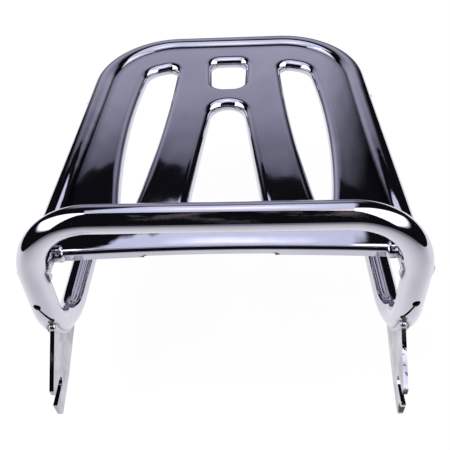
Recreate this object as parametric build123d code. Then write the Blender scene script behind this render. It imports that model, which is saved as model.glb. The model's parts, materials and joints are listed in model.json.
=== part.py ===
from build123d import *
from math import asin, cos, degrees, radians, sin, tan
import os

# Luggage rack of bent steel tube with a stamped tray, chrome plated, in millimetres.
# The origin is midway between the two mounting forks, on the axis of the studs they slide onto.
# +X is to the right as seen from the front, +Y runs to the rear of the rack, +Z is up.

# Tube stock
tube_diameter = 19.05
tube_wall = 1.65
cope_gap = 0.2

# Hoop tube: crossbar, two legs, the lower rails and their risers
crossbar_setback = 43.0
crossbar_height = 130.6
hoop_corner_half = 130.2
hoop_bend_radius = 47.4
leg_rake_angle = 7.4
leg_toe_in_angle = 1.3
lower_bend_radius = 36.0
lower_corner_height = 6.6
lower_rail_angle = 4.3
lower_rail_length = 180.0
riser_angle = 65.0

# Rail loop: two side rails and the rear bar
rail_height = 81.3
rail_taper_angle = 3.55
rear_corner_radius = 66.0
rear_bar_setback = 323.0
rail_joint_offset = 0.1

# Tray: a stamped sheet with flanged openings and a turned-down front lip
sheet_thickness = 2.0
tray_rise = 5.4
flange_depth = 9.0
flange_roll = 7.0
lip_setback = 56.8
lip_depth = 9.7
lip_bend_radii = (45.0, 14.0, 3.5)
lip_bend_angles = (10.0, 22.0, 90.0)
lip_lap = 8.0
lip_bow_radius = 1900.0
lip_end_gap = 1.5
lip_corner_radius = 2.5
lip_notch_left = -56.0
lip_notch_right = 36.0
lip_notch_depth = 1.5

# Openings in the tray, measured at the flange walls
centre_slot_rear = 223.8
centre_slot_front = 81.0
centre_slot_rear_radius = 15.0
centre_slot_front_half = 28.4
centre_slot_front_radius = 10.0
window_rear = 292.0
window_front = 248.0
window_rear_half = 16.8
window_rear_radius = 8.0
window_front_half = 14.4
window_front_radius = 11.0
side_slot_rear_outer = (75.6, 277.5)
side_slot_outer_bulge = (84.1, 187.0)
side_slot_front_outer = (78.8, 98.0)
side_slot_front_inner = (69.4, 95.5)
side_slot_inner_bulge = (56.2, 183.0)
side_slot_rear_inner = (48.2, 287.0)
side_slot_rear_outer_radius = 17.0
side_slot_rear_inner_radius = 8.0
side_slot_front_radius = 3.0

# Mounting brackets: flat plates set into slots in the lower bends
bracket_thickness = 3.2
bracket_inset = 1.9
stud_diameter = 8.0
fork_clearance = 0.1
upper_prong_reach = 12.0
lower_prong_reach = 16.0
upper_prong_thickness = 5.4
lower_prong_thickness = 16.5
prong_corner_radius = 2.5
bracket_top_height = 42.8
bracket_belly_setback = 16.0
bracket_belly_drop = 14.0
bracket_belly_radius = 60.0
bracket_heel_share = 0.82
bracket_heel_overhang = 1.6

# Drain hole in each leg and the slit that slants down from it to the bracket's weld
drain_hole_diameter = 5.5
drain_hole_height = 61.8
drain_hole_offset = 1.2
slit_width = 1.4
slit_length = 18.0
slit_angle = 24.0

# Weld beads
hoop_bead = 1.8
loop_bead = 2.1
bracket_bead = 1.8
bracket_heap_radius = 3.3
bracket_heap_length = 6.0
bracket_heap_offset = 0.8
bracket_heap_lift = 1.4
bracket_heap_rounding = 2.4
lip_bead_radius = 6.5
lip_bead_rounding = 4.0
lip_weld_setback = 1.0
stitch_bead = 2.5
stitch_length = 28.0
rail_stitch_setbacks = (95.0, 165.0, 265.0)
rear_stitch_half_spacing = 30.0

tube_radius = tube_diameter / 2
bore_radius = tube_radius - tube_wall
tray_top = rail_height + tray_rise
fork_half = stud_diameter / 2 + fork_clearance


def bend_arc(before, corner, after, radius):
    # Arc of the given radius that rounds the corner between two straight runs.
    back = (before - corner).normalized()
    ahead = (after - corner).normalized()
    half_turn = radians(180 - back.get_angle(ahead)) / 2
    setback = radius * tan(half_turn)
    middle = corner + (back + ahead).normalized() * (radius / cos(half_turn) - radius)
    return ThreePointArc(corner + back * setback, middle, corner + ahead * setback)


def bent_path(points, bend_radii):
    # Straight runs through the points, with an arc at each inner one.
    edges = []
    start = points[0]
    for index, radius in enumerate(bend_radii, start=1):
        bend = bend_arc(points[index - 1], points[index], points[index + 1], radius)
        edges.append(Line(start, bend @ 0))
        edges.append(bend)
        start = bend @ 1
    edges.append(Line(start, points[-1]))
    return Wire(edges)


def rod_along(path, radius):
    return sweep(sections=Plane(origin=path @ 0, z_dir=path % 0) * Circle(radius), path=path)


def tube_along(path):
    return rod_along(path, tube_radius) - rod_along(path, bore_radius)


def mirrored(shape):
    return mirror(shape, about=Plane.YZ)


def leg_point(height):
    # Point on the right leg's axis at a given height.
    drop = crossbar_height - height
    x = hoop_corner_half - drop / cos(radians(leg_rake_angle)) * tan(radians(leg_toe_in_angle))
    y = crossbar_setback - drop * tan(radians(leg_rake_angle))
    return Vector(x, y, height)


def rail_x(y):
    # The rails start just outside the axes of the legs and taper towards the rear bar.
    joint = leg_point(rail_height)
    return joint.X + rail_joint_offset - (y - joint.Y) * tan(radians(rail_taper_angle))


def loop_path_from(front_y):
    # Rail loop from the left rail at front_y round the rear bar to the right rail.
    front_x = rail_x(front_y)
    rear_x = rail_x(rear_bar_setback)
    points = [
        Vector(-front_x, front_y, rail_height),
        Vector(-rear_x, rear_bar_setback, rail_height),
        Vector(rear_x, rear_bar_setback, rail_height),
        Vector(front_x, front_y, rail_height),
    ]
    return bent_path(points, [rear_corner_radius] * 2)


# Corner points of the hoop tube on the right-hand side, from the top downwards
hoop_corner = Vector(hoop_corner_half, crossbar_setback, crossbar_height)
lower_corner = leg_point(lower_corner_height)
riser_foot = lower_corner + Vector(
    -lower_rail_length * tan(radians(rail_taper_angle)),
    lower_rail_length,
    lower_rail_length * tan(radians(lower_rail_angle)),
)
riser_head_y = riser_foot.Y + (rail_height - riser_foot.Z) / tan(radians(riser_angle))
riser_head = Vector(rail_x(riser_head_y) - rail_joint_offset, riser_head_y, rail_height)

right_run = [hoop_corner, lower_corner, riser_foot, riser_head]
left_run = [Vector(-point.X, point.Y, point.Z) for point in reversed(right_run)]
side_radii = [lower_bend_radius] * 2
hoop_path = bent_path(left_run + right_run, side_radii + [hoop_bend_radius] * 2 + side_radii)
loop_path = loop_path_from(leg_point(rail_height).Y)
loop_rear_path = loop_path_from(lower_corner.Y + lower_rail_length / 2)

hoop_rod = rod_along(hoop_path, tube_radius)
loop_rod = rod_along(loop_path, tube_radius)
bracket_x = lower_corner.X - bracket_inset


def make_bracket():
    # Right-hand bracket: a plate outline in the YZ plane with the fork axis at its origin.
    lower_bend = bend_arc(hoop_corner, lower_corner, riser_foot, lower_bend_radius)
    heel = lower_bend @ bracket_heel_share
    heel_across = (lower_bend % bracket_heel_share).rotate(Axis.X, -90)
    heel_edge = heel + heel_across * (tube_radius + bracket_heel_overhang)
    top = leg_point(bracket_top_height)
    outline = make_face(
        Polyline(
            (-upper_prong_reach, 0),
            (-upper_prong_reach, fork_half + upper_prong_thickness),
            (top.Y, top.Z),
            (heel.Y, heel.Z),
            (heel_edge.Y, heel_edge.Z),
            (bracket_belly_setback, -bracket_belly_drop),
            (-lower_prong_reach, -fork_half - lower_prong_thickness),
            (-lower_prong_reach, 0),
            close=True,
        )
    )
    for tip in (
        (-upper_prong_reach, fork_half + upper_prong_thickness),
        (-lower_prong_reach, -fork_half - lower_prong_thickness),
    ):
        outline = fillet(outline.vertices().sort_by_distance(tip)[0], prong_corner_radius)
    belly = outline.vertices().sort_by_distance((bracket_belly_setback, -bracket_belly_drop))[0]
    outline = fillet(belly, bracket_belly_radius)
    slot = Rectangle(lower_prong_reach * 2, fork_half * 2, align=(Align.MAX, Align.CENTER))
    slot += Circle(fork_half)
    plate = extrude(Plane.YZ * (outline - slot), bracket_thickness / 2, both=True)
    return Pos(bracket_x, 0, 0) * plate


def make_hoop(bracket):
    # One bent tube, coped under the rails and slotted for the brackets.
    hole_place = Pos(*(leg_point(drain_hole_height) + Vector(drain_hole_offset, 0, 0)))
    drain_hole = hole_place * Rot(90, 0, 0) * Cylinder(
        drain_hole_diameter / 2, tube_diameter, align=(Align.CENTER, Align.CENTER, Align.MIN)
    )
    slit = hole_place * Rot(0, slit_angle, 0) * Box(
        slit_width, tube_diameter, slit_length, align=(Align.CENTER, Align.MAX, Align.MAX)
    )
    cuts = drain_hole + slit + bracket
    hoop = tube_along(hoop_path) - rod_along(loop_rear_path, tube_radius + cope_gap)
    return hoop - cuts - mirrored(cuts)


def make_loop():
    # Rails and rear bar in one tube, coped to the backs of the legs.
    front_path = bent_path(
        [left_run[-2], left_run[-1], right_run[0], right_run[1]],
        [hoop_bend_radius] * 2,
    )
    return tube_along(loop_path) - rod_along(front_path, tube_radius + cope_gap)


def centre_slot_face():
    rear_end = Pos(0, centre_slot_rear - centre_slot_rear_radius) * Circle(centre_slot_rear_radius)
    corner_x = centre_slot_front_half - centre_slot_front_radius
    corner_y = centre_slot_front + centre_slot_front_radius
    front_ends = [Pos(x, corner_y) * Circle(centre_slot_front_radius) for x in (-corner_x, corner_x)]
    return make_hull(rear_end.edges() + front_ends[0].edges() + front_ends[1].edges())


def window_face():
    outline = Polygon(
        (-window_rear_half, window_rear),
        (-window_front_half, window_front),
        (window_front_half, window_front),
        (window_rear_half, window_rear),
        align=None,
    )
    outline = fillet(outline.vertices().group_by(Axis.Y)[-1], window_rear_radius)
    return fillet(outline.vertices().group_by(Axis.Y)[0], window_front_radius)


def side_slot_face():
    outline = make_face(
        [
            ThreePointArc(side_slot_rear_outer, side_slot_outer_bulge, side_slot_front_outer),
            Line(side_slot_front_outer, side_slot_front_inner),
            ThreePointArc(side_slot_front_inner, side_slot_inner_bulge, side_slot_rear_inner),
            Line(side_slot_rear_inner, side_slot_rear_outer),
        ]
    )
    corner_radii = (
        (side_slot_rear_outer, side_slot_rear_outer_radius),
        (side_slot_rear_inner, side_slot_rear_inner_radius),
        (side_slot_front_outer, side_slot_front_radius),
        (side_slot_front_inner, side_slot_front_radius),
    )
    for corner, radius in corner_radii:
        outline = fillet(outline.vertices().sort_by_distance(corner)[0], radius)
    return outline


def lip_profile(flat_end):
    # Section of the turned-down front edge in the YZ plane: a flat lap, three bends and a short drop.
    edges = []
    ends = []
    for inset in (0, sheet_thickness):
        centre = Vector(flat_end, tray_top - lip_bend_radii[0])
        reach = lip_bend_radii[0]
        start_angle = 0
        corner = Vector(flat_end, tray_top - inset)
        edges.append(Line(corner + Vector(lip_lap, 0), corner))
        for radius, end_angle in zip(lip_bend_radii, lip_bend_angles):
            centre += slope_normal(start_angle) * (reach - radius)
            turns = (start_angle, (start_angle + end_angle) / 2, end_angle)
            edges.append(ThreePointArc(*[centre + slope_normal(turn) * (radius - inset) for turn in turns]))
            reach = radius
            start_angle = end_angle
        foot = Vector((edges[-1] @ 1).X, tray_top - lip_depth)
        edges.append(Line(edges[-1] @ 1, foot))
        ends += [corner + Vector(lip_lap, 0), foot]
    edges += [Line(ends[0], ends[2]), Line(ends[1], ends[3])]
    return make_face(edges)


def slope_normal(angle):
    # Outward normal of the lip's upper face where it has turned down by the angle.
    return Vector(-sin(radians(angle)), cos(radians(angle)))


def make_lip(flat_end):
    # The section swung about a far axis ahead of the rack, which bows the lip slightly.
    lip_half = rail_x(lip_setback) - tube_radius - lip_end_gap
    swing_axis = Axis((0, lip_setback - lip_bow_radius, 0), (0, 0, 1))
    half_swing = degrees(asin(lip_half / lip_bow_radius))
    lip = revolve(Plane.YZ * lip_profile(flat_end), swing_axis, half_swing * 2)
    lip = lip.rotate(swing_axis, -half_swing)
    foot_ends = lip.edges().group_by(Axis.Z)[0].sort_by(Axis.X)
    lip = fillet([foot_ends[0], foot_ends[-1]], lip_corner_radius)
    notch = Pos(lip_notch_left, lip_setback, tray_top - lip_depth) * Box(
        lip_notch_right - lip_notch_left,
        sheet_thickness * 4,
        lip_notch_depth,
        align=(Align.MIN, Align.CENTER, Align.MIN),
    )
    return lip - notch


def make_tray():
    underside = tray_top - sheet_thickness
    bend_reach = 0
    start_angle = 0
    for radius, end_angle in zip(lip_bend_radii, lip_bend_angles):
        bend_reach += radius * (sin(radians(end_angle)) - sin(radians(start_angle)))
        start_angle = end_angle
    flat_end = lip_setback + bend_reach
    rim = loop_path_from(flat_end + lip_lap / 4)
    rim_face = make_face(rim.edges() + [Line(rim @ 1, rim @ 0)])
    sheet = extrude(Pos(0, 0, underside - rail_height) * rim_face, sheet_thickness)
    sheet += make_lip(flat_end)

    side_slot = side_slot_face()
    openings = [centre_slot_face(), window_face(), side_slot, mirrored(side_slot)]
    for opening in openings:
        ring = offset(opening, amount=sheet_thickness)
        flange_bottom = tray_top - flange_depth
        sheet += extrude(Pos(0, 0, flange_bottom) * ring, flange_depth)
        sheet -= extrude(Pos(0, 0, flange_bottom) * opening, flange_depth)

    for height, radius in ((underside, flange_roll - sheet_thickness), (tray_top, flange_roll)):
        web_point = (0, (centre_slot_rear + window_front) / 2, height)
        flat = sheet.faces().filter_by(Plane.XY).sort_by_distance(web_point)[0]
        rims = [edge for wire in flat.inner_wires() for edge in wire.edges()]
        sheet = fillet(rims, radius)
    return sheet - loop_rod


def joint_welds():
    # Beads round the coped joints: where the two tubes, thickened by the bead, overlap.
    thick_loop = rod_along(loop_path, tube_radius + loop_bead)
    thick_hoop = rod_along(hoop_path, tube_radius + hoop_bead)
    return (thick_loop & thick_hoop) - hoop_rod - loop_rod


def bracket_weld(bracket):
    # Bead along both faces of the right-hand bracket where it enters the tube,
    # heaped up at the front edge.
    flat_plate = Pos(-bracket_x, 0, 0) * bracket
    widened = scale(flat_plate, by=(1 + 2 * bracket_bead / bracket_thickness, 1, 1))
    thick_hoop = rod_along(hoop_path, tube_radius + bracket_bead)
    bead = Pos(bracket_x, 0, 0) * widened & thick_hoop

    top = leg_point(bracket_top_height)
    prong_top = Vector(bracket_x, -upper_prong_reach, fork_half + upper_prong_thickness)
    front_edge = Line(prong_top, Vector(bracket_x, top.Y, top.Z)) - hoop_rod
    entry = front_edge @ 1
    heap = Rot(0, 90, 0) * Cylinder(bracket_heap_radius, bracket_heap_length)
    heap = fillet(heap.edges().filter_by(GeomType.CIRCLE), bracket_heap_rounding)
    heap = Pos(entry.X - bracket_heap_offset, entry.Y, entry.Z + bracket_heap_lift) * heap
    return bead + heap - hoop_rod - bracket


def lip_weld(tray):
    # Blob that ties the right-hand end of the lip to the rail.
    lip_end_x = rail_x(lip_setback) - tube_radius - lip_end_gap / 2
    place = Pos(lip_end_x, lip_setback + lip_weld_setback, tray_top - lip_bead_radius)
    plug = Rot(0, 90, 0) * Cylinder(lip_bead_radius, lip_bead_radius * 2)
    blob = place * fillet(plug.edges().filter_by(GeomType.CIRCLE), lip_bead_rounding)
    return blob - tray - loop_rod


def stitch_welds(tray, places, length_x, length_y):
    # Short beads in the corner between the underside of the tray and the tube.
    thick_loop = rod_along(loop_path, tube_radius + stitch_bead)
    footprint = make_footprint()
    underside = tray_top - sheet_thickness
    beads = []
    for x, y in places:
        reach = Pos(x, y, underside) * Box(
            length_x, length_y, stitch_bead, align=(Align.CENTER, Align.CENTER, Align.MAX)
        )
        beads += ((reach & footprint & thick_loop) - loop_rod - tray).solids()
    return Compound(children=beads)


def make_footprint():
    # Everything inside the loop's centreline, as tall as the tray's flanges.
    rim = loop_path_from(lip_setback)
    rim_face = make_face(rim.edges() + [Line(rim @ 1, rim @ 0)])
    return extrude(Pos(0, 0, tray_rise - flange_depth) * rim_face, flange_depth)


def on_side(shape, right, rear):
    # The solid of a group that lies on the given side of the rack and of its middle.
    middle = lower_corner.Y + lower_rail_length / 2
    picked = [
        solid
        for solid in shape.solids()
        if (solid.center().X > 0) == right and (solid.center().Y > middle) == rear
    ]
    return picked[0]


bracket = make_bracket()
tray = make_tray()
beads = joint_welds()
bracket_beads = bracket_weld(bracket)
lip_bead = lip_weld(tray)
rail_places = [(rail_x(y) - tube_radius, y) for y in rail_stitch_setbacks]
rail_stitches = stitch_welds(tray, rail_places, tube_diameter, stitch_length)
rear_y = rear_bar_setback - tube_radius
rear_places = [(-rear_stitch_half_spacing, rear_y), (rear_stitch_half_spacing, rear_y)]

nodes = {
    "front_hoop": make_hoop(bracket),
    "rail_loop": make_loop(),
    "tray_plate": tray,
    "bracket_right": bracket,
    "bracket_left": mirrored(bracket),
    "bracket_weld_right": bracket_beads,
    "bracket_weld_left": mirrored(bracket_beads),
    "rail_weld_right": on_side(beads, True, False),
    "rail_weld_left": on_side(beads, False, False),
    "riser_weld_right": on_side(beads, True, True),
    "riser_weld_left": on_side(beads, False, True),
    "lip_weld_right": lip_bead,
    "lip_weld_left": mirrored(lip_bead),
    "tray_stitch_right": rail_stitches,
    "tray_stitch_left": mirrored(rail_stitches),
    "tray_stitch_rear": stitch_welds(tray, rear_places, stitch_length, tube_diameter),
}

os.makedirs("parts", exist_ok=True)
for name, shape in nodes.items():
    export_step(shape, f"parts/{name}.step")
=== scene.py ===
import bpy
import json
from math import radians
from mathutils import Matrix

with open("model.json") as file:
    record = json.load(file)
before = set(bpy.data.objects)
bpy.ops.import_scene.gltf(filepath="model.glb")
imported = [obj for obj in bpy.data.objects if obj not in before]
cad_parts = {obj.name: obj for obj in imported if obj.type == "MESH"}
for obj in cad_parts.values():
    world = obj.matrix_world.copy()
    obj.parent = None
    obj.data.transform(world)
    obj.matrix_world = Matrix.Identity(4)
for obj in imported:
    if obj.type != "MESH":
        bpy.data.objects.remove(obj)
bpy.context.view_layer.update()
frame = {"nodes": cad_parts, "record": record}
scene = bpy.context.scene
scene.view_settings.view_transform = "Standard"
print("rack loaded:", len(frame["nodes"]), "nodes")


# node helpers

def newTree(name):
    material = bpy.data.materials.new(name)
    material.use_nodes = True
    material.node_tree.nodes.clear()
    return material, material.node_tree


def plug(tree, socket, value):
    if isinstance(value, bpy.types.NodeSocket):
        tree.links.new(value, socket)
    else:
        socket.default_value = value


def addNode(tree, kind, inputs=None, **settings):
    node = tree.nodes.new(kind)
    for key, value in settings.items():
        setattr(node, key, value)
    for key, value in (inputs or {}).items():
        plug(tree, node.inputs[key], value)
    return node


def maths(tree, operation, first, second=0.0, clamp=False):
    node = addNode(tree, "ShaderNodeMath", {0: first, 1: second}, operation=operation, use_clamp=clamp)
    return node.outputs[0]


def times(tree, first, *others):
    for other in others:
        first = maths(tree, "MULTIPLY", first, other)
    return first


def vectorMaths(tree, operation, first, second, output):
    node = addNode(tree, "ShaderNodeVectorMath", {0: first, 1: second}, operation=operation)
    return node.outputs[output]


def split(tree, coords):
    return addNode(tree, "ShaderNodeSeparateXYZ", {0: coords}).outputs


def ramp(tree, value, low, high, toLow=0.0, toHigh=1.0):
    inputs = {"Value": value, "From Min": low, "From Max": high, "To Min": toLow, "To Max": toHigh}
    node = addNode(tree, "ShaderNodeMapRange", inputs, interpolation_type="SMOOTHSTEP", clamp=True)
    return node.outputs["Result"]


def mixColour(tree, factor, first, second):
    node = addNode(tree, "ShaderNodeMix", data_type="RGBA", clamp_factor=True)
    for index, value in ((0, factor), (6, first), (7, second)):  # 6 and 7 are the colour sockets
        plug(tree, node.inputs[index], value)
    return node.outputs[2]


def mixValue(tree, factor, first, second):
    node = addNode(tree, "ShaderNodeMix", data_type="FLOAT", clamp_factor=True)
    for index, value in ((0, factor), (2, first), (3, second)):  # 2 and 3 are the float sockets
        plug(tree, node.inputs[index], value)
    return node.outputs[0]


def noise(tree, coords, scale, detail, roughness, stretch=(1, 1, 1)):
    mapping = addNode(tree, "ShaderNodeMapping", {"Vector": coords, "Scale": stretch})
    inputs = {"Vector": mapping.outputs[0], "Scale": scale, "Detail": detail, "Roughness": roughness}
    return addNode(tree, "ShaderNodeTexNoise", inputs).outputs["Fac"]


def bump(tree, height, strength, distance, under=None):
    inputs = {"Strength": strength, "Distance": distance, "Height": height}
    if under is not None:
        inputs["Normal"] = under
    return addNode(tree, "ShaderNodeBump", inputs).outputs[0]


def metalSurface(tree, colour, gloss, metal, normal):
    inputs = {"Base Color": colour, "Roughness": gloss, "Metallic": metal, "Normal": normal}
    shader = addNode(tree, "ShaderNodeBsdfPrincipled", inputs)
    addNode(tree, "ShaderNodeOutputMaterial", {"Surface": shader.outputs[0]})


def objectCoords(tree):
    return addNode(tree, "ShaderNodeTexCoord").outputs["Object"]


def mirroredCoords(tree, coords):
    # both halves of the rack read the same place, so one spot serves left and right
    x, y, z = split(tree, coords)
    joined = addNode(tree, "ShaderNodeCombineXYZ", {0: maths(tree, "ABSOLUTE", x), 1: y, 2: z})
    return joined.outputs[0]


# wear that every chrome piece shares, and the painted shade in the crease between tray and tubes

rustLook = {
    "core": 0.3,  # share of a stain's reach that is rusty right through
    "stainShare": 0.62, "mottleShare": 0.75, "from": 0.66, "full": 0.86, "edgeFrom": 0.02, "edgeFull": 0.25,
    "toneScale": 1.7, "dark": (0.020, 0.009, 0.005, 1), "light": (0.13, 0.056, 0.025, 1),
    "rough": 0.72, "film": 0.8, "bump": 0.15, "depth": 0.00012,
}
pitLook = {"core": 0.35, "colour": (0.05, 0.04, 0.035, 1), "rough": 0.5, "depth": 0.6}
smearLook = {"spread": 0.14, "colour": (0.40, 0.20, 0.13, 1)}
hazeLook = {"from": 0.36, "full": 0.64}
# painted shade: a near-black colour laid along the crease where the tray meets the tubes, wherever ambient occlusion
# finds a tight nook
paintedSeamShadeLook = {"reach": 0.007, "samples": 8, "open": 0.95, "tight": 0.82, "amount": 0.92,
            "colour": (0.015, 0.014, 0.018, 1)}
grainDepth = 0.0002


def spotMask(tree, coords, spots):
    total = None
    for spot in spots:
        away = vectorMaths(tree, "DISTANCE", coords, spot["place"], "Value")
        mask = ramp(tree, away, spot["reach"], spot["reach"] * rustLook["core"], 0.0, spot["amount"])
        total = mask if total is None else maths(tree, "MAXIMUM", total, mask)
    return total


def smearMask(tree, coords, place, look):
    smear = noise(tree, coords, look["smearScale"], detail=5.0, roughness=0.62, stretch=look["smearStretch"])
    mask = ramp(tree, smear, look["smearFrom"], look["smearFrom"] + smearLook["spread"])
    line = look.get("smearLine")
    if line:
        section = addNode(tree, "ShaderNodeCombineXYZ", {1: place[1], 2: place[2]}).outputs[0]
        away = vectorMaths(tree, "DISTANCE", section, line["place"], "Value")
        onLine = ramp(tree, away, line["reach"], line["reach"] * line["core"])
        mask = times(tree, mask, onLine, ramp(tree, place[0], line["half"], line["half"] * line["fade"]))
    return mask


def pitMask(tree, coords, look):
    pits = addNode(tree, "ShaderNodeTexVoronoi", {"Vector": coords, "Scale": look["pitScale"], "Randomness": 1.0})
    dot = ramp(tree, pits.outputs["Distance"], look["pitSize"], look["pitSize"] * pitLook["core"])
    pick = addNode(tree, "ShaderNodeSeparateColor", {0: pits.outputs["Color"]}).outputs[0]
    return times(tree, dot, maths(tree, "GREATER_THAN", pick, look["pitRare"]))  # keeps only a few cells


def boreMask(tree, mirrored, bore):
    toAxis = vectorMaths(tree, "SUBTRACT", mirrored, bore["place"], "Vector")
    across = vectorMaths(tree, "CROSS_PRODUCT", toAxis, bore["along"], "Vector")
    offAxis = addNode(tree, "ShaderNodeVectorMath", {0: across}, operation="LENGTH").outputs["Value"]
    fromHole = addNode(tree, "ShaderNodeVectorMath", {0: toAxis}, operation="LENGTH").outputs["Value"]
    inside = ramp(tree, offAxis, bore["wallOuter"], bore["wallInner"])
    return times(tree, inside, ramp(tree, fromHole, bore["span"], bore["spanFull"]))


def rustMask(tree, coords, mirrored, mottle, look):
    stain = spotMask(tree, mirrored, look["stains"])
    if look.get("oneSided"):
        stain = maths(tree, "MAXIMUM", stain, spotMask(tree, coords, look["oneSided"]))
    stained = times(tree, stain, rustLook["stainShare"])
    spread = maths(tree, "ADD", stained, times(tree, mottle, rustLook["mottleShare"]))
    rust = ramp(tree, spread, rustLook["from"], rustLook["full"])
    rust = times(tree, rust, ramp(tree, stain, rustLook["edgeFrom"], rustLook["edgeFull"]))
    if look.get("bore"):
        rust = maths(tree, "MAXIMUM", rust, boreMask(tree, mirrored, look["bore"]))
    return rust


def groundTilt(tree, coords, place, ground):
    # tips the edge of the right-hand bracket only, with a ragged upper end
    right = split(tree, coords)[0]
    scuff = noise(tree, coords, ground["scuffScale"], detail=3.0, roughness=0.7)
    ragged = times(tree, maths(tree, "SUBTRACT", scuff, 0.5), ground["ragged"])
    height = maths(tree, "ADD", place[2], ragged)
    tilted = times(tree, ramp(tree, height, ground["top"], ground["top"] - ground["fade"]),
                   maths(tree, "GREATER_THAN", right, 0.0),
                   ramp(tree, scuff, ground["scuffFrom"], ground["scuffFull"]))
    return times(tree, right, tilted, ground["slope"])


def crownSag(tree, place, crown):
    # height that drops ever faster towards the rail
    towardsRail = maths(tree, "ADD", place[0], times(tree, place[1], crown["taper"]))
    fromRail = maths(tree, "SUBTRACT", crown["edge"], towardsRail)
    shoulder = maths(tree, "MAXIMUM", maths(tree, "SUBTRACT", crown["width"], fromRail), 0.0)
    return times(tree, shoulder, shoulder, -crown["slope"] / crown["width"] / 2)


def chromePlate(name, look):
    material, tree = newTree(name)
    coords = objectCoords(tree)
    mirrored = mirroredCoords(tree, coords)
    place = split(tree, mirrored)
    haze = noise(tree, coords, look["hazeScale"], detail=3.0, roughness=0.6)
    mottle = noise(tree, coords, look["mottleScale"], detail=6.0, roughness=0.7)
    smear = smearMask(tree, coords, place, look)
    pit = pitMask(tree, coords, look)
    rust = rustMask(tree, coords, mirrored, mottle, look)

    tone = noise(tree, coords, look["mottleScale"] * rustLook["toneScale"], detail=5.0, roughness=0.65)
    plate = mixColour(tree, ramp(tree, haze, hazeLook["from"], hazeLook["full"]), look["colourLow"], look["colourHigh"])
    plate = mixColour(tree, times(tree, smear, look["smearTint"]), plate, smearLook["colour"])
    plate = mixColour(tree, pit, plate, pitLook["colour"])
    colour = mixColour(tree, rust, plate, mixColour(tree, tone, rustLook["dark"], rustLook["light"]))
    # painted shade darkens the crease between the tray and the tubes
    if look.get("paintedSeamShade"):
        paintedSeamShade = look["paintedSeamShade"]
        nook = addNode(tree, "ShaderNodeAmbientOcclusion", {"Distance": paintedSeamShade["reach"]}, samples=paintedSeamShade["samples"])
        seamShadeMask = ramp(tree, nook.outputs["AO"], paintedSeamShade["open"], paintedSeamShade["tight"], 0.0, paintedSeamShade["amount"])
        colour = mixColour(tree, seamShadeMask, colour, paintedSeamShade["colour"])

    gloss = mixValue(tree, haze, look["roughLow"], look["roughHigh"])
    gloss = maths(tree, "ADD", gloss, times(tree, smear, look["smearRough"]))
    gloss = mixValue(tree, pit, gloss, pitLook["rough"])
    gloss = mixValue(tree, rust, gloss, rustLook["rough"])

    metal = maths(tree, "SUBTRACT", 1.0, times(tree, smear, look["smearFilm"]))
    metal = maths(tree, "SUBTRACT", metal, times(tree, rust, rustLook["film"]), clamp=True)

    # long waves of the polished steel, a finer grain, then the pits and scale
    waves = noise(tree, coords, look["waveScale"], detail=2.0, roughness=0.45, stretch=look["waveStretch"])
    if look.get("ground"):
        waves = maths(tree, "ADD", waves, groundTilt(tree, coords, place, look["ground"]))
    normal = bump(tree, waves, look["waveStrength"], look["waveDepth"])
    if look.get("crown"):
        normal = bump(tree, crownSag(tree, place, look["crown"]), 1.0, 1.0, normal)
    grain = noise(tree, coords, look["grainScale"], detail=3.0, roughness=0.6, stretch=look["grainStretch"])
    normal = bump(tree, grain, look["grainStrength"], grainDepth, normal)
    scale = maths(tree, "SUBTRACT", times(tree, rust, mottle), times(tree, pit, pitLook["depth"]))
    normal = bump(tree, scale, rustLook["bump"], rustLook["depth"], normal)

    metalSurface(tree, colour, gloss, metal, normal)
    return material


# where the welds have stained the plating, in metres
jointStains = [
    {"place": (0.1235, 0.039, 0.083), "reach": 0.013, "amount": 0.52},  # rail weld
    {"place": (0.1238, 0.0238, 0.0458), "reach": 0.0046, "amount": 0.80},  # cap of the bracket weld
    {"place": (0.1170, 0.060, 0.080), "reach": 0.010, "amount": 0.48},  # end of the lip
    {"place": (0.1160, 0.236, 0.076), "reach": 0.016, "amount": 0.48},  # riser weld
]

tubeLook = {
    "colourLow": (0.60, 0.592, 0.675, 1), "colourHigh": (0.66, 0.652, 0.735, 1),
    "hazeScale": 14.0, "roughLow": 0.02, "roughHigh": 0.05,
    "smearScale": 90.0, "smearStretch": (0.13, 1.0, 1.0), "smearFrom": 0.46,
    "smearLine": {"place": (0.0, 0.0365, 0.1375), "reach": 0.0048, "core": 0.6, "half": 0.092, "fade": 0.8},
    "smearTint": 0.7, "smearRough": 0.015, "smearFilm": 0.13,
    "pitScale": 70.0, "pitSize": 0.028, "pitRare": 0.86,
    "mottleScale": 420.0, "stains": jointStains, "paintedSeamShade": paintedSeamShadeLook,
    "waveScale": 26.0, "waveStretch": (0.35, 1.0, 1.0), "waveStrength": 0.12, "waveDepth": 0.004,
    "grainScale": 420.0, "grainStretch": (0.3, 1.0, 1.0), "grainStrength": 0.03,
    # rusty wall of the tube around the drain hole
    "bore": {"place": (0.1286, 0.0341, 0.0618), "along": (0.0227, 0.1288, 0.9914),
             "wallOuter": 0.00948, "wallInner": 0.009085, "span": 0.0135, "spanFull": 0.0108},
}
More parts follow.
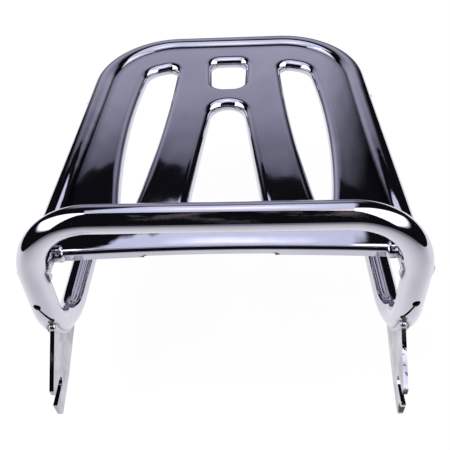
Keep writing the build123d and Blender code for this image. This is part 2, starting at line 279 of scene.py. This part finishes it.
trayLook = {
    "colourLow": (0.58, 0.575, 0.665, 1), "colourHigh": (0.64, 0.635, 0.725, 1),
    "hazeScale": 11.0, "roughLow": 0.03, "roughHigh": 0.06,
    "smearScale": 26.0, "smearStretch": (1.0, 0.35, 1.0), "smearFrom": 0.60,
    "smearTint": 0.3, "smearRough": 0.04, "smearFilm": 0.05,
    "pitScale": 60.0, "pitSize": 0.03, "pitRare": 0.84,
    "mottleScale": 420.0, "paintedSeamShade": paintedSeamShadeLook,
    "stains": [{"place": (0.1170, 0.0605, 0.080), "reach": 0.010, "amount": 0.48}],
    # the two ends of the lip's notch
    "oneSided": [{"place": (-0.0560, 0.0575, 0.0770), "reach": 0.006, "amount": 0.75},
                 {"place": (0.0360, 0.0575, 0.0770), "reach": 0.006, "amount": 0.75}],
    "waveScale": 26.0, "waveStretch": (1.0, 0.4, 1.0), "waveStrength": 0.30, "waveDepth": 0.004,
    "crown": {"edge": 0.1236, "taper": 0.062, "width": 0.022, "slope": 0.12},
    "grainScale": 360.0, "grainStretch": (1.0, 1.0, 1.0), "grainStrength": 0.03,
}
bracketLook = {
    # darker base colour than the tubes: painted shade for the shaded floor under the rack that the brackets reflect
    "colourLow": (0.27, 0.265, 0.315, 1), "colourHigh": (0.52, 0.512, 0.585, 1),
    "hazeScale": 30.0, "roughLow": 0.02, "roughHigh": 0.06,
    "smearScale": 60.0, "smearStretch": (1.0, 1.0, 0.5), "smearFrom": 0.56,
    "smearTint": 0.4, "smearRough": 0.06, "smearFilm": 0.06,
    "pitScale": 160.0, "pitSize": 0.06, "pitRare": 0.85,
    "mottleScale": 520.0,
    "stains": [{"place": (0.1254, 0.024, 0.037), "reach": 0.007, "amount": 0.50}],
    # both tips of the right-hand fork
    "oneSided": [{"place": (0.1254, -0.0124, 0.0064), "reach": 0.0052, "amount": 0.85},
                 {"place": (0.1254, -0.0165, -0.0115), "reach": 0.0090, "amount": 0.85}],
    "waveScale": 70.0, "waveStretch": (1.0, 1.0, 1.0), "waveStrength": 0.30, "waveDepth": 0.003,
    "ground": {"top": 0.0285, "fade": 0.002, "ragged": 0.014, "slope": -330.0,
               "scuffScale": 330.0, "scuffFrom": 0.28, "scuffFull": 0.38},
    "grainScale": 500.0, "grainStretch": (1.0, 1.0, 1.0), "grainStrength": 0.05,
}

weldLook = {
    "colourLow": (0.52, 0.51, 0.57, 1), "colourHigh": (0.70, 0.69, 0.76, 1),
    "lumpScale": 140.0, "lumpDepth": 0.0024, "mottleScale": 320.0, "fineDepth": 0.0002,
    "toneScale": 2.1, "rustDark": (0.022, 0.010, 0.006, 1), "rustLight": (0.19, 0.085, 0.036, 1),
    "rustFrom": 0.60, "rustFull": 0.74, "rustRough": 0.7, "rustMetal": 0.15,
    "bracketTop": 0.058, "bracketFull": 0.048,  # the welds of the brackets lie below this
    "rust": (1.0, 0.5), "rough": (0.05, 0.30), "lumps": (0.5, 0.3), "fine": (0.08, 0.04),  # upper welds, bracket welds
}


def weldPlate(name, look):
    material, tree = newTree(name)
    coords = objectCoords(tree)
    lumps = noise(tree, coords, look["lumpScale"], detail=1.5, roughness=0.5)
    mottle = noise(tree, coords, look["mottleScale"], detail=6.0, roughness=0.7)
    tone = noise(tree, coords, look["mottleScale"] * look["toneScale"], detail=4.0, roughness=0.6)
    low = ramp(tree, split(tree, coords)[2], look["bracketTop"], look["bracketFull"])
    rust = times(tree, ramp(tree, mottle, look["rustFrom"], look["rustFull"]), mixValue(tree, low, *look["rust"]))
    plate = mixColour(tree, lumps, look["colourLow"], look["colourHigh"])
    colour = mixColour(tree, rust, plate, mixColour(tree, tone, look["rustDark"], look["rustLight"]))
    gloss = mixValue(tree, rust, mixValue(tree, low, *look["rough"]), look["rustRough"])
    metal = mixValue(tree, rust, 1.0, look["rustMetal"])
    normal = bump(tree, lumps, mixValue(tree, low, *look["lumps"]), look["lumpDepth"])
    normal = bump(tree, mottle, mixValue(tree, low, *look["fine"]), look["fineDepth"], normal)
    metalSurface(tree, colour, gloss, metal, normal)
    return material


finishes = {
    "tube_chrome": chromePlate("tubeChrome", tubeLook),
    "tray_chrome": chromePlate("trayChrome", trayLook),
    "bracket_chrome": chromePlate("bracketChrome", bracketLook),
    "weld_chrome": weldPlate("weldChrome", weldLook),
}
for part in frame["record"]["subparts"]:
    node = frame["nodes"][part["node"]]
    for slot in node.material_slots:
        slot.material = finishes[part["material_slot"]]
print("chrome finishes set")


# white table under the rack; in reflections its glow fades to a painted shade towards its front edge

tableSettings = {"height": -0.09, "left": -0.9, "right": 0.9, "front": -1.2, "rear": 1.4,
                 "fadeFrom": 0.02, "fadeTo": -0.62, "dim": (0.10, 0.10, 0.12, 1), "white": (1, 1, 1, 1),
                 "colour": (0.93, 0.93, 0.94, 1), "glow": 0.9}


def addPlane(name):
    bpy.ops.object.select_all(action="DESELECT")
    bpy.ops.mesh.primitive_plane_add(size=1.0)
    plane = bpy.context.object
    plane.name = name
    return plane


def makeTable(s):
    table = addPlane("whiteTable")
    table.scale = (s["right"] - s["left"], s["rear"] - s["front"], 1)
    table.location = ((s["right"] + s["left"]) / 2, (s["rear"] + s["front"]) / 2, s["height"])
    bpy.ops.object.transform_apply(location=True, rotation=True, scale=True)
    material, tree = newTree("tableWhite")
    rays = addNode(tree, "ShaderNodeLightPath").outputs
    seen = maths(tree, "ADD", rays["Is Camera Ray"], rays["Is Glossy Ray"], clamp=True)
    seen = maths(tree, "ADD", seen, rays["Is Transmission Ray"], clamp=True)
    along = split(tree, objectCoords(tree))[1]
    inputs = {"Value": along, "From Min": s["fadeTo"], "From Max": s["fadeFrom"]}
    lit = addNode(tree, "ShaderNodeMapRange", inputs, clamp=True).outputs["Result"]
    # painted shade: seen in reflections, the table's glow dims from white to dim towards its front edge
    tone = mixColour(tree, maths(tree, "MAXIMUM", lit, rays["Is Camera Ray"]), s["dim"], s["white"])
    diffuse = addNode(tree, "ShaderNodeBsdfDiffuse", {"Color": s["colour"]}).outputs[0]
    glow = addNode(tree, "ShaderNodeEmission", {"Color": tone, "Strength": 1.0}).outputs[0]
    blend = addNode(tree, "ShaderNodeMixShader", {0: times(tree, seen, s["glow"]), 1: diffuse, 2: glow})
    addNode(tree, "ShaderNodeOutputMaterial", {"Surface": blend.outputs[0]})
    table.data.materials.append(material)


makeTable(tableSettings)


# light tent: a dark dome with a lit panel on each side, seen only in reflections

tentSettings = {
    "radius": 2.6, "segments": 48, "rings": 24, "centre": (0.0, 0.14, 0.06), "dark": (0.006, 0.006, 0.008, 1),
    "side": {"colour": (2.2, 2.2, 2.3, 1), "front": -1.15, "rear": 0.42, "low": 0.34, "soft": 0.09,
             "lean": 0.145, "apart": 0.15, "nearest": 0.001},
}


def glossyOnly(piece):
    piece.visible_camera = False
    piece.visible_diffuse = False
    piece.visible_shadow = False


def makeTent(s):
    bpy.ops.object.select_all(action="DESELECT")
    bpy.ops.mesh.primitive_uv_sphere_add(segments=s["segments"], ring_count=s["rings"], radius=s["radius"])
    tent = bpy.context.object
    tent.name = "lightTent"
    tent.location = s["centre"]
    glossyOnly(tent)
    material, tree = newTree("tentPanels")
    x, y, z = split(tree, objectCoords(tree))
    p = s["side"]
    sideways = maths(tree, "ABSOLUTE", maths(tree, "ADD", x, times(tree, z, p["lean"])))
    reach = maths(tree, "SUBTRACT", sideways, times(tree, z, p["apart"]))
    reach = maths(tree, "MAXIMUM", reach, p["nearest"])
    along = maths(tree, "DIVIDE", y, reach)
    tall = maths(tree, "DIVIDE", z, reach)
    lit = times(tree, ramp(tree, along, p["front"] - p["soft"], p["front"] + p["soft"]),
                ramp(tree, along, p["rear"] + p["soft"], p["rear"] - p["soft"]),
                ramp(tree, tall, p["low"] - p["soft"], p["low"] + p["soft"]))
    glow = addNode(tree, "ShaderNodeEmission", {"Color": mixColour(tree, lit, s["dark"], p["colour"]), "Strength": 1.0})
    addNode(tree, "ShaderNodeOutputMaterial", {"Surface": glow.outputs[0]})
    material.cycles.emission_sampling = "NONE"
    tent.data.materials.append(material)


makeTent(tentSettings)


# two glowing cards close to the rack, seen only in reflections: a soft box overhead and a wall behind with a painted
# band of light across it

cardSettings = [
    {"name": "overheadCard", "size": (0.36, 0.405), "place": (0.004, 0.2285, 0.431), "turn": (180.0, 0.0, -9.0),
     "softSides": 0.03, "softEnds": 0.02,
     "core": {"colour": (1.75, 1.75, 1.9, 1), "along": 0.04, "length": 0.11, "across": 0.13},
     "stops": [(0.0, (0.90, 0.92, 1.1, 1)), (0.5, (0.92, 0.94, 1.12, 1)), (1.0, (0.85, 0.87, 1.05, 1))]},
    # painted reflection of a back wall, lit brightest in a band across its middle
    {"name": "backCard", "size": (0.80, 0.60), "place": (-0.06, 0.60, 0.205), "turn": (90.0, -7.0, 0.0),
     "softSides": 0.22, "softEnds": 0.012,
     "stops": [(0.0, (0.10, 0.10, 0.14, 1)), (0.30, (0.16, 0.16, 0.21, 1)), (0.55, (0.50, 0.50, 0.60, 1)),
               (0.75, (0.38, 0.38, 0.47, 1)), (1.0, (0.12, 0.12, 0.16, 1))]},
]


def makeCard(s):
    card = addPlane(s["name"])
    card.scale = (s["size"][0], s["size"][1], 1)
    bpy.ops.object.transform_apply(location=False, rotation=False, scale=True)
    card.rotation_euler = [radians(angle) for angle in s["turn"]]
    card.location = s["place"]
    glossyOnly(card)
    halfWidth, halfLength = s["size"][0] / 2, s["size"][1] / 2
    material, tree = newTree(s["name"] + "Light")
    x, y = split(tree, objectCoords(tree))[:2]
    fromMiddle = maths(tree, "ABSOLUTE", x)
    inputs = {"Value": y, "From Min": -halfLength, "From Max": halfLength}
    grade = addNode(tree, "ShaderNodeMapRange", inputs).outputs["Result"]
    tone = addNode(tree, "ShaderNodeValToRGB", {0: grade})
    stops = tone.color_ramp.elements
    while len(stops) < len(s["stops"]):
        stops.new(0.5)
    for stop, (position, colour) in zip(stops, s["stops"]):
        stop.position = position
        stop.color = colour
    colour = tone.outputs["Color"]
    core = s.get("core")
    if core:
        offCentre = maths(tree, "ABSOLUTE", maths(tree, "SUBTRACT", y, core["along"]))
        inCore = times(tree, ramp(tree, offCentre, core["length"], 0.0), ramp(tree, fromMiddle, core["across"], 0.0))
        colour = mixColour(tree, inCore, colour, core["colour"])
    solid = times(tree, ramp(tree, fromMiddle, halfWidth, halfWidth - s["softSides"]),
                  ramp(tree, maths(tree, "ABSOLUTE", y), halfLength, halfLength - s["softEnds"]))
    clear = addNode(tree, "ShaderNodeBsdfTransparent").outputs[0]
    glow = addNode(tree, "ShaderNodeEmission", {"Color": colour, "Strength": 1.0}).outputs[0]
    blend = addNode(tree, "ShaderNodeMixShader", {0: solid, 1: clear, 2: glow})
    addNode(tree, "ShaderNodeOutputMaterial", {"Surface": blend.outputs[0]})
    material.cycles.emission_sampling = "NONE"
    card.data.materials.append(material)


for settings in cardSettings:
    makeCard(settings)


# plain white world, the same for light, camera and reflections

worldSettings = {"colour": (1, 1, 1, 1), "strength": 1.0}
world = bpy.data.worlds.new("paleRoom")
scene.world = world
world.use_nodes = True
world.node_tree.nodes.clear()
sky = addNode(world.node_tree, "ShaderNodeBackground",
              {"Color": worldSettings["colour"], "Strength": worldSettings["strength"]})
addNode(world.node_tree, "ShaderNodeOutputWorld", {"Surface": sky.outputs[0]})

lampSettings = {"place": (-0.25, -0.15, 1.1), "turn": (-10.0, -12.0, 0.0), "size": 0.9, "power": 9.0}
bpy.ops.object.select_all(action="DESELECT")
bpy.ops.object.light_add(type="AREA", location=lampSettings["place"],
                         rotation=[radians(angle) for angle in lampSettings["turn"]])
lamp = bpy.context.object
lamp.name = "softLamp"
lamp.data.size = lampSettings["size"]
lamp.data.energy = lampSettings["power"]
lamp.visible_camera = False
lamp.visible_glossy = False
print("table, tent, cards, world and lamp set")


# camera at the photograph's viewing angle

cameraSettings = {"place": (0.02184, -0.20573, 0.39436), "tilt": 42.62, "heading": 4.22, "roll": -4.07,
                  "lens": 47.0, "sensor": 36.0, "near": 0.01}
bpy.ops.object.select_all(action="DESELECT")
bpy.ops.object.camera_add(location=cameraSettings["place"],
                          rotation=(radians(cameraSettings["tilt"]), 0, radians(cameraSettings["heading"])))
camera = bpy.context.object
camera.data.lens = cameraSettings["lens"]
camera.data.sensor_width = cameraSettings["sensor"]
camera.data.clip_start = cameraSettings["near"]
camera.rotation_euler.rotate_axis("Z", radians(cameraSettings["roll"]))
scene.camera = camera
print("camera set")
